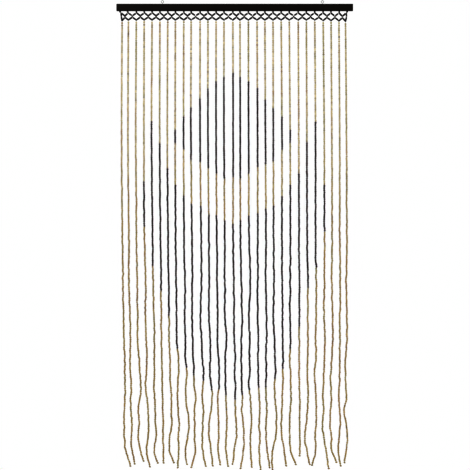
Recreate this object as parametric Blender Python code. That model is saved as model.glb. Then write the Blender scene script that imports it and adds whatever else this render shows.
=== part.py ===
"""A wooden bead curtain: a black slat with two screw eyes, a heading net of long
black beads, and 29 bead strands that hang from it.

Metres, +Z up. The origin is the centre of the slat's top face, the front faces -Y,
and +X is to the right as seen from the front. Sizes below are in millimetres, and
heights are given as a drop below the slat's top face.
"""

import math
from collections import namedtuple

import bmesh
import bpy
from mathutils import Matrix, Vector

MM = 0.001

# Slat that everything hangs from
SLAT_LENGTH = 900.0
SLAT_HEIGHT = 26.0
SLAT_THICKNESS = 12.0
SLAT_EDGE_ROUNDING = 0.8

# Small play kept between pieces that touch, and how far a drill starts outside
CLEARANCE = 0.3
CUT_PAST = 1.0

# Drilled holes under the slat, one for the string of each strand
STRING_HOLE_RADIUS = 1.2
STRING_HOLE_DEPTH = 8.0
HOLE_SIDES = 8

# Screw eyes in the slat's top face
EYE_LEFT_X = -275.5
EYE_RIGHT_X = 334.0
EYE_OUTER_RADIUS = 5.5
EYE_WIRE_RADIUS = 0.9
EYE_CENTRE_HEIGHT = 8.7
EYE_SHANK_RADIUS = 0.88
EYE_SHANK_DEPTH = 12.0
EYE_RING_STEPS = 24
EYE_WIRE_SIDES = 8

# Heading net: a rail bead, then two rows of slanting beads down to each strand
TOP_KNOT_DROP = 33.5
TOP_KNOT_BELOW = 3.0
BOTTOM_KNOT_DROP = 60.0
STRAND_TOP_ABOVE = 3.0
RAIL_BEAD_THICKNESS = 4.6
RIGHTWARD_BAR_THICKNESS = 4.2
LEFTWARD_BAR_THICKNESS = 3.8
EDGE_BAR_THICKNESS = 4.0

# Strands: four-sided, as thick as their beads are on average
STRAND_THICKNESS = 5.4
DEPTH_SWAY = 6.0
DEPTH_WAVE = 430.0
DEPTH_TURN = 2.4
LONGEST_DROP = 1775.0

# Spacing of the rings along a strand, wide where it hangs straight
STRAIGHT_PART_END = 1200.0
STRAIGHT_RINGS = 8
BENT_RING_SPACING = 28.0

# Drops at which the table gives each strand's sideways sway
SWAY_DROPS = (500, 900, 1050, 1200, 1275, 1350, 1400, 1450, 1500, 1550, 1600, 1650, 1700)

# One row a strand, left to right, in millimetres. hole: place of its hole along the
# slat. knot: place of the knot under the net. at_...: sway from the knot at that
# drop. tip: sway of its end. drop: how far below the slat's top its end hangs.
Strand = namedtuple(
    "Strand",
    "hole knot at_500 at_900 at_1050 at_1200 at_1275 at_1350 at_1400 at_1450 at_1500 "
    "at_1550 at_1600 at_1650 at_1700 tip drop",
)
STRANDS = [
    Strand(-439, -429, -2, 1, 3, 6, 7, 10, 10, 10, 11, 8, 8, 9, 14, 32, 1762),
    Strand(-409, -405, -2, 2, 2, 6, 8, 6, 7, 11, 10, 10, 13, 11, 13, 25, 1753),
    Strand(-375, -375, -2, 1, 3, 5, 5, 11, 13, 16, 14, 7, 11, 8, 16, 27, 1741),
    Strand(-345, -345, -1, 1, 6, 5, 8, 10, 9, 6, 11, 15, 17, 15, 8, 21, 1765),
    Strand(-315, -315, -2, 2, 4, 7, 9, 8, 9, 7, 11, 12, 12, 16, 8, 22, 1749),
    Strand(-285, -285, -1, 2, 4, 5, 6, 7, 8, 9, 10, 11, 12, 12, 13, 13, 1749),
    Strand(-255, -255, -2, 1, 3, 5, 5, 8, 8, 10, 14, 13, 16, 8, 6, 23, 1749),
    Strand(-226, -226, -1, 1, 3, 4, 5, 11, 12, 8, 8, 10, 14, 11, 14, 8, 1766),
    Strand(-194, -194, -1, 1, 4, 4, 6, 6, 12, 8, 7, 15, 19, 15, 6, 11, 1755),
    Strand(-166, -166, -1, 3, 4, 3, 6, 8, 10, 12, 17, 13, 14, 13, 16, 1, 1766),
    Strand(-132, -132, 0, 4, 5, 1, 6, 8, 14, 11, 8, 12, 10, 9, 10, 22, 1761),
    Strand(-102, -102, 0, 4, 4, 4, 8, 9, 7, 12, 16, 12, 3, 5, 12, 18, 1761),
    Strand(-71, -71, 0, 3, 4, 6, 5, 9, 11, 11, 7, 8, 10, 10, 8, 16, 1755),
    Strand(-41, -41, 0, 3, 3, 4, 10, 5, 5, 5, 8, 10, 11, 8, 8, 16, 1762),
    Strand(-7, -7, 1, 1, 3, 4, 5, 9, 6, 9, 9, 10, 12, 13, 5, -2, 1754),
    Strand(20, 20, 1, 2, 5, 8, 6, 5, 6, 6, 9, 7, 12, 14, 13, 2, 1769),
    Strand(52, 52, 1, 3, 7, 2, 5, 4, 6, 1, 7, 11, 12, 8, 8, 14, 1766),
    Strand(85, 85, 2, 3, 3, 3, 5, 3, 5, 6, 9, 11, 8, 11, 8, 13, 1774),
    Strand(115, 115, 2, 4, 3, 6, 5, 4, 6, 4, 5, 8, 3, 5, 9, 19, 1767),
    Strand(146, 146, 1, 2, 3, 2, 5, 8, 10, 5, 8, 12, 13, 10, -1, -4, 1775),
    Strand(177, 177, 3, 3, 4, 5, 5, 7, 6, 7, 4, 3, 0, 3, 11, 19, 1759),
    Strand(208, 208, 3, 4, 3, 2, 4, 2, 5, 6, 7, 3, 1, 2, 5, 26, 1756),
    Strand(242, 242, 2, 3, 4, 4, 4, 4, 4, 5, 5, 5, 5, 5, 6, 6, 1723),
    Strand(273, 273, 2, 3, 6, 5, 6, 5, 3, 6, 7, 3, 0, -7, 2, 13, 1754),
    Strand(305, 305, 3, 3, 5, 5, 3, 5, -1, 2, 4, 6, 5, 2, 4, -10, 1759),
    Strand(337, 337, 4, 5, 5, 3, 7, 5, 2, 1, -1, 2, -3, 3, 11, 21, 1770),
    Strand(367, 367, 3, 4, 3, 6, 6, 3, 0, 0, 1, -2, -4, 1, 2, 22, 1747),
    Strand(399, 397, 3, 3, 5, 4, 4, 3, 2, 1, 0, 3, 5, 2, -2, 6, 1761),
    Strand(430, 422, 4, 5, 3, 5, 5, 0, -1, 1, 3, -5, 3, 7, 2, -4, 1747),
]

# Colours as sRGB hex, with roughness and metallic
BLACK_WOOD = ("#17130f", 0.45, 0.0)
PALE_STEEL = ("#b4b4b0", 0.35, 1.0)
NATURAL_BEADS = ("#8a7758", 0.55, 0.0)


def clear_scene():
    for item in list(bpy.data.objects):
        bpy.data.objects.remove(item, do_unlink=True)


def linear_colour(hex_colour):
    channels = [int(hex_colour[i:i + 2], 16) / 255 for i in (1, 3, 5)]
    return [c / 12.92 if c <= 0.04045 else ((c + 0.055) / 1.055) ** 2.4 for c in channels] + [1.0]


def make_material(name, look):
    hex_colour, roughness, metallic = look
    material = bpy.data.materials.new(name)
    material.use_nodes = True
    shader = material.node_tree.nodes["Principled BSDF"]
    shader.inputs["Base Color"].default_value = linear_colour(hex_colour)
    shader.inputs["Roughness"].default_value = roughness
    shader.inputs["Metallic"].default_value = metallic
    return material


def make_object(name, bm, material=None, smooth_angle=None):
    """Turn a bmesh in millimetres into an object in metres."""
    bmesh.ops.scale(bm, vec=(MM, MM, MM), verts=bm.verts)
    bmesh.ops.recalc_face_normals(bm, faces=bm.faces)
    mesh = bpy.data.meshes.new(name)
    bm.to_mesh(mesh)
    bm.free()
    if smooth_angle is not None:
        mesh.shade_smooth()
        mesh.set_sharp_from_angle(angle=smooth_angle)
    if material is not None:
        mesh.materials.append(material)
    item = bpy.data.objects.new(name, mesh)
    bpy.context.collection.objects.link(item)
    return item


def combine(item, bm, name, operation):
    """Add a bmesh to an object, or cut it away, with an exact Boolean."""
    other = make_object(name, bm)
    other.hide_render = True
    other.display_type = "WIRE"
    boolean = item.modifiers.new(name, "BOOLEAN")
    boolean.operation = operation
    boolean.solver = "EXACT"
    boolean.object = other


def add_box(bm, low, high):
    size = Vector(high) - Vector(low)
    centre = (Vector(high) + Vector(low)) / 2
    matrix = Matrix.Translation(centre) @ Matrix.Diagonal((*size, 1.0))
    bmesh.ops.create_cube(bm, size=1.0, matrix=matrix)


def add_bar(bm, start, end, thickness):
    """A square bar between two points of the plane Y = 0."""
    along = end - start
    turn = Vector((0, 0, 1)).rotation_difference(along).to_matrix().to_4x4()
    stretch = Matrix.Diagonal((thickness, thickness, along.length, 1.0))
    matrix = Matrix.Translation((start + end) / 2) @ turn @ stretch
    bmesh.ops.create_cube(bm, size=1.0, matrix=matrix)


def add_pin(bm, x, bottom, top, radius, sides):
    """A round pin that stands on the slat's middle line."""
    matrix = Matrix.Translation((x, 0, (bottom + top) / 2))
    bmesh.ops.create_cone(
        bm, cap_ends=True, segments=sides, radius1=radius, radius2=radius,
        depth=top - bottom, matrix=matrix,
    )


def sway_at(strand, drop):
    """Sideways place of a strand at a drop: a smooth curve through its row's values."""
    drops = [BOTTOM_KNOT_DROP, *SWAY_DROPS, strand.drop]
    sways = [0.0, *strand[2:-1]]
    span = max(i for i in range(len(drops) - 1) if drops[i] <= drop or i == 0)

    def slope(i):
        before = max(i - 1, 0)
        after = min(i + 1, len(drops) - 1)
        return (sways[after] - sways[before]) / (drops[after] - drops[before])

    length = drops[span + 1] - drops[span]
    t = (drop - drops[span]) / length
    return (
        sways[span] * (2 * t ** 3 - 3 * t ** 2 + 1)
        + slope(span) * length * (t ** 3 - 2 * t ** 2 + t)
        + sways[span + 1] * (3 * t ** 2 - 2 * t ** 3)
        + slope(span + 1) * length * (t ** 3 - t ** 2)
    )


def strand_point(number, drop):
    """Centre of a strand at a drop, with a slight wave in depth that grows downwards."""
    strand = STRANDS[number]
    growth = (drop / LONGEST_DROP) ** 2
    wave = math.sin(2 * math.pi * drop / DEPTH_WAVE + number * DEPTH_TURN)
    return Vector((strand.knot + sway_at(strand, drop), DEPTH_SWAY * growth * wave, -drop))


def ring_drops(strand):
    """Drops of a strand's rings: a few down its straight part, then close together."""
    start = BOTTOM_KNOT_DROP
    straight = [
        start + (STRAIGHT_PART_END - start) * step / STRAIGHT_RINGS
        for step in range(STRAIGHT_RINGS + 1)
    ]
    count = round((strand.drop - STRAIGHT_PART_END) / BENT_RING_SPACING)
    bent = [
        STRAIGHT_PART_END + (strand.drop - STRAIGHT_PART_END) * step / count
        for step in range(1, count + 1)
    ]
    return straight + bent


def move_ring(face, centre):
    """Bring a level square face to a centre."""
    middle = face.calc_center_median()
    for vertex in face.verts:
        vertex.co += centre - middle


def add_strand(bm, number):
    """Extrude a square down through the strand's rings."""
    drops = ring_drops(STRANDS[number])
    corners = bmesh.ops.create_cube(bm, size=STRAND_THICKNESS)["verts"]
    faces = {face for corner in corners for face in corner.link_faces}
    top = max(faces, key=lambda face: face.calc_center_median().z)
    ring = min(faces, key=lambda face: face.calc_center_median().z)
    move_ring(top, strand_point(number, drops[0]) + Vector((0, 0, STRAND_TOP_ABOVE)))
    move_ring(ring, strand_point(number, drops[1]))
    for drop in drops[2:]:
        ring = bmesh.ops.extrude_discrete_faces(bm, faces=[ring])["faces"][0]
        move_ring(ring, strand_point(number, drop))


def make_slat(material):
    bm = bmesh.new()
    add_box(
        bm,
        (-SLAT_LENGTH / 2, -SLAT_THICKNESS / 2, -SLAT_HEIGHT),
        (SLAT_LENGTH / 2, SLAT_THICKNESS / 2, 0),
    )
    slat = make_object("rail", bm, material, math.radians(30))
    edges = slat.modifiers.new("eased edges", "BEVEL")
    edges.width = SLAT_EDGE_ROUNDING * MM
    edges.segments = 2

    bm = bmesh.new()
    for strand in STRANDS:
        mouth = -SLAT_HEIGHT - CUT_PAST
        add_pin(bm, strand.hole, mouth, STRING_HOLE_DEPTH - SLAT_HEIGHT, STRING_HOLE_RADIUS, HOLE_SIDES)
    for x in (EYE_LEFT_X, EYE_RIGHT_X):
        bottom = -EYE_SHANK_DEPTH - CLEARANCE
        add_pin(bm, x, bottom, CUT_PAST, EYE_SHANK_RADIUS + CLEARANCE, HOLE_SIDES)
    combine(slat, bm, "drilled holes", "DIFFERENCE")
    return slat


def make_screw_eye(name, x, material):
    """A ring of wire that faces the front, on a shank that stands in the slat."""
    ring_radius = EYE_OUTER_RADIUS - EYE_WIRE_RADIUS
    centre = Vector((x, 0, EYE_CENTRE_HEIGHT))
    bm = bmesh.new()
    section = bmesh.ops.create_circle(bm, segments=EYE_WIRE_SIDES, radius=EYE_WIRE_RADIUS)["verts"]
    bmesh.ops.translate(bm, verts=section, vec=centre + Vector((ring_radius, 0, 0)))
    bmesh.ops.spin(
        bm, geom=list(bm.verts) + list(bm.edges), cent=centre, axis=(0, 1, 0),
        angle=math.tau, steps=EYE_RING_STEPS, use_merge=True,
    )
    eye = make_object(name, bm, material, math.radians(50))

    bm = bmesh.new()
    shank_top = EYE_CENTRE_HEIGHT - ring_radius
    add_pin(bm, x, -EYE_SHANK_DEPTH, shank_top, EYE_SHANK_RADIUS, EYE_WIRE_SIDES)
    combine(eye, bm, name + "_shank", "UNION")
    return eye


def make_bead_net(material):
    """The heading net with the strands fused under it."""
    top_knots = []
    bottom_knots = []
    for strand in STRANDS:
        lean = (strand.knot - strand.hole) / 2
        top_knots.append(Vector((strand.hole + lean, 0, -TOP_KNOT_DROP)))
        bottom_knots.append(Vector((strand.knot, 0, -BOTTOM_KNOT_DROP)))

    bm = bmesh.new()
    for number, knot in enumerate(top_knots):
        half = RAIL_BEAD_THICKNESS / 2
        low = (knot.x - half, -half, knot.z - TOP_KNOT_BELOW)
        high = (knot.x + half, half, -SLAT_HEIGHT - CLEARANCE)
        add_box(bm, low, high)
        add_strand(bm, number)
    net = make_object("bead_net", bm, material)

    rightward = bmesh.new()
    leftward = bmesh.new()
    for number in range(len(STRANDS) - 1):
        add_bar(rightward, top_knots[number], bottom_knots[number + 1], RIGHTWARD_BAR_THICKNESS)
        add_bar(leftward, top_knots[number + 1], bottom_knots[number], LEFTWARD_BAR_THICKNESS)
    edges = bmesh.new()
    add_bar(edges, top_knots[0], bottom_knots[0], EDGE_BAR_THICKNESS)
    add_bar(edges, top_knots[-1], bottom_knots[-1], EDGE_BAR_THICKNESS)
    combine(net, rightward, "rightward beads", "UNION")
    combine(net, leftward, "leftward beads", "UNION")
    combine(net, edges, "edge beads", "UNION")
    return net


def main():
    clear_scene()
    make_slat(make_material("black wood", BLACK_WOOD))
    steel = make_material("pale steel", PALE_STEEL)
    make_screw_eye("eye_left", EYE_LEFT_X, steel)
    make_screw_eye("eye_right", EYE_RIGHT_X, steel)
    make_bead_net(make_material("natural beads", NATURAL_BEADS))


if __name__ == "__main__":
    main()
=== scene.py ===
"""A wooden bead curtain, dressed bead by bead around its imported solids.

Metres, +Z up, with the front facing -Y and the slat's top face at Z = 0. Tables and the
constants that say so are in millimetres, and a drop is measured down from the slat's top.
"""

import bisect
import math
import random
from collections import namedtuple

import bmesh
import bpy
from bpy.props import FloatProperty, FloatVectorProperty, IntProperty, PointerProperty
from bpy.types import Operator, Panel, PropertyGroup
from mathutils import Matrix, Vector, noise


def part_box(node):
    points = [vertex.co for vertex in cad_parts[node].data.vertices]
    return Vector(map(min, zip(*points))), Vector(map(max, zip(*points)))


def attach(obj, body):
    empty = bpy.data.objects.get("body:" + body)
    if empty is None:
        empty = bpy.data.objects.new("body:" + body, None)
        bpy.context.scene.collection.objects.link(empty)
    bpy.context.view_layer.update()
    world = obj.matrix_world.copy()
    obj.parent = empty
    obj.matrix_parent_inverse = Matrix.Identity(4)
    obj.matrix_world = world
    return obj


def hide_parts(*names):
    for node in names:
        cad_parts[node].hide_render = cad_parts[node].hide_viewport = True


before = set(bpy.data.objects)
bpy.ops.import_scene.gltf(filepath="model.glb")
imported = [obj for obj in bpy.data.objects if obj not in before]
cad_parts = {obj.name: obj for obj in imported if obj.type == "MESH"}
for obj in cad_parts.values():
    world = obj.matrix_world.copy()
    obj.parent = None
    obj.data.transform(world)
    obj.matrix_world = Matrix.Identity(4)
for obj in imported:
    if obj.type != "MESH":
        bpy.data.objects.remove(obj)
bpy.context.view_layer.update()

bl_info = {
    "name": "Bead curtain",
    "version": (1, 0, 0),
    "blender": (4, 5, 0),
    "location": "View3D > Sidebar > Bead Curtain",
    "description": "Threads a wooden bead curtain on a black slat, with its knotted heading",
    "category": "Object",
}

MM = 0.001
NET_NODE = "bead_net"

# The slat as it was packed, in metres
SLAT_LOW, SLAT_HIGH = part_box("rail")
SLAT_UNDERSIDE = SLAT_LOW.z
SLAT_HALF_DEPTH = SLAT_HIGH.y

# Heights in the heading net, as drops in millimetres
STRING_HOLE_TOP_DROP = 19.0
RAIL_BEAD_TOP_DROP = 26.3
TOP_KNOT_DROP = 33.5
CROSSING_DROP = 47.0
BOTTOM_KNOT_DROP = 60.0
FIRST_BEAD_DROP = 67.3

# The net is drawn in a little towards its middle: sideways share of a strand's place
NET_DRAWN_IN = 0.0025

# How much lower than most the net's knots hang near its ends, in millimetres, by the
# strand's number. Strands are numbered from the left, in this and the later tables
# from 1, and in the functions from 0.
NET_SAGS = {1: 2.8, 3: 0.4, 26: 2.2, 27: 2.4, 28: 3.6, 29: 5.0}

# How far the net's left and right edge string hangs out sideways, in millimetres
EDGE_BULGES = (-1.0, 2.6)

# Depth wave of the strands, as in the solids: its reach and its length down a strand in
# millimetres, its turn from one strand to the next in radians, and the drop in
# millimetres at which it has its full reach
DEPTH_SWAY = 6.0
DEPTH_WAVE = 430.0
DEPTH_TURN = 2.4
LONGEST_DROP = 1775.0

# Small kinks that the beads give a strand, in millimetres: size and length of each
# kind. They grow as this power of the drop, and are full size below FULL_KINK_DROP.
KINKS = ((2.3, 15.0), (1.3, 38.0))
KINK_GROWTH = 1.5
FULL_KINK_DROP = 1050.0

# Steps in the noise that keep the strands' kinks apart, kinks in depth apart from those
# sideways, and the strands' shades apart
KINK_NOISE_STEP = 5.3
DEPTH_NOISE_STEP = 9
SHADE_NOISE_STEP = 3.1

# Drops at which the table gives each strand's sideways sway
SWAY_DROPS = (500, 900, 1050, 1200, 1275, 1350, 1400, 1450, 1500, 1550, 1600, 1650, 1700)

# One row a strand, left to right, in millimetres. hole: place of its hole along the
# slat. knot: place of the knot under the net. at_...: sway from the knot at that
# drop. tip: sway of its end. drop: how far below the slat's top its end hangs.
Strand = namedtuple(
    "Strand",
    "hole knot at_500 at_900 at_1050 at_1200 at_1275 at_1350 at_1400 at_1450 at_1500 "
    "at_1550 at_1600 at_1650 at_1700 tip drop",
)
STRANDS = [
    Strand(-439, -429, -2, 1, 3, 6, 7, 10, 10, 10, 11, 8, 8, 9, 14, 32, 1762),
    Strand(-409, -405, -2, 2, 2, 6, 8, 6, 7, 11, 10, 10, 13, 11, 13, 25, 1753),
    Strand(-375, -375, -2, 1, 3, 5, 5, 11, 13, 16, 14, 7, 11, 8, 16, 27, 1741),
    Strand(-345, -345, -1, 1, 6, 5, 8, 10, 9, 6, 11, 15, 17, 15, 8, 21, 1765),
    Strand(-315, -315, -2, 2, 4, 7, 9, 8, 9, 7, 11, 12, 12, 16, 8, 22, 1749),
    Strand(-285, -285, -1, 2, 4, 5, 6, 7, 8, 9, 10, 11, 12, 12, 13, 13, 1749),
    Strand(-255, -255, -2, 1, 3, 5, 5, 8, 8, 10, 14, 13, 16, 8, 6, 23, 1749),
    Strand(-226, -226, -1, 1, 3, 4, 5, 11, 12, 8, 8, 10, 14, 11, 14, 8, 1766),
    Strand(-194, -194, -1, 1, 4, 4, 6, 6, 12, 8, 7, 15, 19, 15, 6, 11, 1755),
    Strand(-166, -166, -1, 3, 4, 3, 6, 8, 10, 12, 17, 13, 14, 13, 16, 1, 1766),
    Strand(-132, -132, 0, 4, 5, 1, 6, 8, 14, 11, 8, 12, 10, 9, 10, 22, 1761),
    Strand(-102, -102, 0, 4, 4, 4, 8, 9, 7, 12, 16, 12, 3, 5, 12, 18, 1761),
    Strand(-71, -71, 0, 3, 4, 6, 5, 9, 11, 11, 7, 8, 10, 10, 8, 16, 1755),
    Strand(-41, -41, 0, 3, 3, 4, 10, 5, 5, 5, 8, 10, 11, 8, 8, 16, 1762),
    Strand(-7, -7, 1, 1, 3, 4, 5, 9, 6, 9, 9, 10, 12, 13, 5, -2, 1754),
    Strand(20, 20, 1, 2, 5, 8, 6, 5, 6, 6, 9, 7, 12, 14, 13, 2, 1769),
    Strand(52, 52, 1, 3, 7, 2, 5, 4, 6, 1, 7, 11, 12, 8, 8, 14, 1766),
    Strand(85, 85, 2, 3, 3, 3, 5, 3, 5, 6, 9, 11, 8, 11, 8, 13, 1774),
    Strand(115, 115, 2, 4, 3, 6, 5, 4, 6, 4, 5, 8, 3, 5, 9, 19, 1767),
    Strand(146, 146, 1, 2, 3, 2, 5, 8, 10, 5, 8, 12, 13, 10, -1, -4, 1775),
    Strand(177, 177, 3, 3, 4, 5, 5, 7, 6, 7, 4, 3, 0, 3, 11, 19, 1759),
    Strand(208, 208, 3, 4, 3, 2, 4, 2, 5, 6, 7, 3, 1, 2, 5, 26, 1756),
    Strand(242, 242, 2, 3, 4, 4, 4, 4, 4, 5, 5, 5, 5, 5, 6, 6, 1723),
    Strand(273, 273, 2, 3, 6, 5, 6, 5, 3, 6, 7, 3, 0, -7, 2, 13, 1754),
    Strand(305, 305, 3, 3, 5, 5, 3, 5, -1, 2, 4, 6, 5, 2, 4, -10, 1759),
    Strand(337, 337, 4, 5, 5, 3, 7, 5, 2, 1, -1, 2, -3, 3, 11, 21, 1770),
    Strand(367, 367, 3, 4, 3, 6, 6, 3, 0, 0, 1, -2, -4, 1, 2, 22, 1747),
    Strand(399, 397, 3, 3, 5, 4, 4, 3, 2, 1, 0, 3, 5, 2, -2, 6, 1761),
    Strand(430, 422, 4, 5, 3, 5, 5, 0, -1, 1, 3, -5, 3, 7, 2, -4, 1747),
]

# How the pattern is threaded, as numbers of beads from the top of a strand. The first
# row is the middle strand, and each next row is the pair of strands one further out.
# Below the last dark bead, and on the strands further out, all beads are natural.
Threading = namedtuple("Threading", "natural dark natural_again dark_again")
CHART = [
    Threading(23, 47, 21, 80),
    Threading(25, 46, 19, 80),
    Threading(27, 42, 19, 80),
    Threading(30, 36, 21, 80),
    Threading(35, 29, 20, 81),
    Threading(39, 24, 20, 79),
    Threading(43, 15, 21, 79),
    Threading(49, 6, 19, 75),
    Threading(67, 0, 0, 68),
    Threading(55, 0, 0, 67),
    Threading(45, 0, 0, 66),
    Threading(73, 0, 0, 21),
]
MIDDLE_STRAND = 15

# Strands whose beads are a little longer or shorter than most: share of the usual pitch
PITCH_SHARES = {
    4: 0.992, 7: 0.991, 10: 0.994, 11: 0.996, 12: 1.008, 14: 1.005, 15: 1.008, 19: 1.01,
    20: 1.006, 23: 1.026, 24: 0.994, 25: 1.008, 26: 1.01,
}

# How far each strand's stopper bead is turned from the strand's own direction, in
# degrees, to the right when positive. Strands that aren't named take the usual turn,
# towards the side where their tail hooks.
USUAL_STOPPER_TURN = 50
STOPPER_TURNS = {1: 60, 4: 75, 5: 80, 7: 75, 15: 20, 23: -85, 25: -65, 26: 70, 27: 75}

# Lengths at a strand's end, in millimetres, measured back along it from its tip
STOPPER_CENTRE = 1.6
STOPPER_KNOT = 5.8
BEADS_END = 6.4

# A knot in the string: points of its route, its depth, and the axis that it turns about
KNOT_STEPS = 21
KNOT_DEPTH = 1.4
KNOT_AXIS = (1, 0.4, 0.2)

# How finely a bead is turned: sides around it, rows along it, and its fullness. A low
# fullness gives a tube with round ends, and a high one a pointed oval.
BeadForm = namedtuple("BeadForm", "sides rows fullness")

# Edges that turn by more than this stay sharp
SHARP_ANGLE = math.radians(60)

RANDOM_SEED = 41

# Sockets of a node that mixes colours, and the number of its result
MIX_SHARE = 0
MIX_FIRST = 6
MIX_SECOND = 7
MIXED = 2

# Materials by the function that makes them
MADE_MATERIALS = {}


def linear_colour(hex_colour):
    """An sRGB hex colour as linear red, green, blue and alpha."""
    channels = [int(hex_colour[i:i + 2], 16) / 255 for i in (1, 3, 5)]
    return [c / 12.92 if c <= 0.04045 else ((c + 0.055) / 1.055) ** 2.4 for c in channels] + [1.0]


def length_setting(name, description, millimetres):
    """A length that a user can change."""
    return FloatProperty(
        name=name, description=description, unit="LENGTH", default=millimetres * MM)


def colour_setting(name, description, hex_colour):
    """A colour that a user can change."""
    return FloatVectorProperty(
        name=name, description=description, subtype="COLOR", size=4, min=0, max=1,
        default=linear_colour(hex_colour))


class BeadSizes(PropertyGroup):
    """Sizes of the small beads that make the strands."""

    length: length_setting("Length", "Length of a strand bead", 8.1)
    width: length_setting("Width", "Width of a strand bead", 6.7)
    hole: length_setting("Hole", "Radius of the hole in a bead", 1.0)
    pitch: length_setting("Pitch", "Spacing of the beads on a strand", 8.4)
    unevenness: FloatProperty(
        name="Unevenness", description="How much bead sizes vary", subtype="FACTOR", default=0.045)
    seed: IntProperty(
        name="Seed", description="Start of the bead-to-bead variation", default=RANDOM_SEED)


class HeadingSizes(PropertyGroup):
    """Sizes of the long black beads of the heading net."""

    rail_length: length_setting("Rail Bead Length", "Length of the bead under each hole", 7.2)
    rail_width: length_setting("Rail Bead Width", "Width of the bead under each hole", 6.2)
    leading_length: length_setting(
        "Leading Bead Length", "Length of an upper bead that leans right", 17.0)
    long_length: length_setting("Long Bead Length", "Length of the other slanting beads", 14.6)
    long_width: length_setting("Long Bead Width", "Width of a slanting bead", 6.2)
    crossing_length: length_setting(
        "Crossing Bead Length", "Length of the bead where strings cross", 5.4)
    crossing_width: length_setting(
        "Crossing Bead Width", "Width of the bead where strings cross", 5.6)
    knot_length: length_setting(
        "Knot Bead Length", "Length of the bead at the head of a strand", 5.6)
    knot_width: length_setting("Knot Bead Width", "Width of the bead at the head of a strand", 6.6)


class StringSizes(PropertyGroup):
    """Sizes of the nylon string."""

    radius: length_setting("Radius", "Radius of the string", 0.34)
    knot_size: length_setting("Knot Size", "Radius of a knot in the string", 1.25)


class CurtainColours(PropertyGroup):
    """Colours of the wood, string and metal."""

    natural: colour_setting("Natural Wood", "Usual colour of the natural beads", "#cec098")
    natural_deep: colour_setting(
        "Deep Natural Wood", "Colour of the natural beads lower down", "#b49d66")
    olive: colour_setting("Olive Wood", "Greenest colour among the natural beads", "#929266")
    russet: colour_setting("Russet Wood", "Reddest colour among the natural beads", "#a8866c")
    dark: colour_setting("Dark Stain", "Colour of the stained beads", "#28130f")
    heading: colour_setting("Black Lacquer", "Colour of the heading beads", "#0d0a0a")
    slat: colour_setting("Black Paint", "Colour of the slat", "#24201b")
    string: colour_setting("Nylon String", "Colour of the string", "#d8d2c0")
    wire: colour_setting("Plated Wire", "Colour of the screw eyes", "#84847d")


def add_node(tree, kind, inputs=None, stops=(), **settings):
    """Add a node with its settings. An input is a plain value or another node's output."""
    node = tree.nodes.new("ShaderNode" + kind)
    for name, value in settings.items():
        setattr(node, name, value)
    for name, value in (inputs or {}).items():
        if isinstance(value, bpy.types.NodeSocket):
            tree.links.new(value, node.inputs[name])
        else:
            node.inputs[name].default_value = value
    for spare in range(len(stops) - 2):
        node.color_ramp.elements.new(0.5)
    for element, (position, colour) in zip(node.color_ramp.elements if stops else (), stops):
        element.position = position
        element.color = colour
    return node


def new_material(name, roughness, **shader_values):
    """A material with its Principled shader's constants set, and that shader and its tree."""
    material = bpy.data.materials.new(name)
    material.use_nodes = True
    tree = material.node_tree
    shader = tree.nodes["Principled BSDF"]
    shader.inputs["Roughness"].default_value = roughness
    for socket, value in shader_values.items():
        shader.inputs[socket.replace("_", " ")].default_value = value
    return material, tree, shader


def per_mm(size_x, size_y, size_z):
    """Mapping scale that makes one step of a pattern as long as these sizes in millimetres."""
    return (1 / (size_x * MM), 1 / (size_y * MM), 1 / (size_z * MM))


def grey(value):
    """A grey as red, green, blue and alpha."""
    return (value, value, value, 1.0)


def lay_finish(tree, shader, colour, sheen, relief):
    """Give the shader a finish's colour, sheen and relief.

    Sheen is a pattern, with the roughness where it is 0 and where it is 1. Relief is a
    pattern, with its strength and its depth in millimetres.
    """
    sheen_pattern, roughness_at_0, roughness_at_1 = sheen
    relief_pattern, strength, depth = relief
    roughness = add_node(
        tree, "MapRange",
        {"Value": sheen_pattern, "To Min": roughness_at_0, "To Max": roughness_at_1}).outputs[0]
    bump = add_node(
        tree, "Bump",
        {"Height": relief_pattern, "Strength": strength, "Distance": depth * MM}).outputs[0]
    tree.links.new(colour, shader.inputs["Base Color"])
    tree.links.new(roughness, shader.inputs["Roughness"])
    tree.links.new(bump, shader.inputs["Normal"])


def wood_streaks(tree, place):
    """Grain of the beads' wood, as streaks 0.5 mm wide and 7 mm long."""
    streak_place = add_node(
        tree, "Mapping", {"Vector": place, "Scale": per_mm(0.5, 0.5, 7.0)}).outputs[0]
    return add_node(
        tree, "TexNoise", {"Vector": streak_place, "Scale": 1.0, "Detail": 3.0}).outputs["Fac"]


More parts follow.
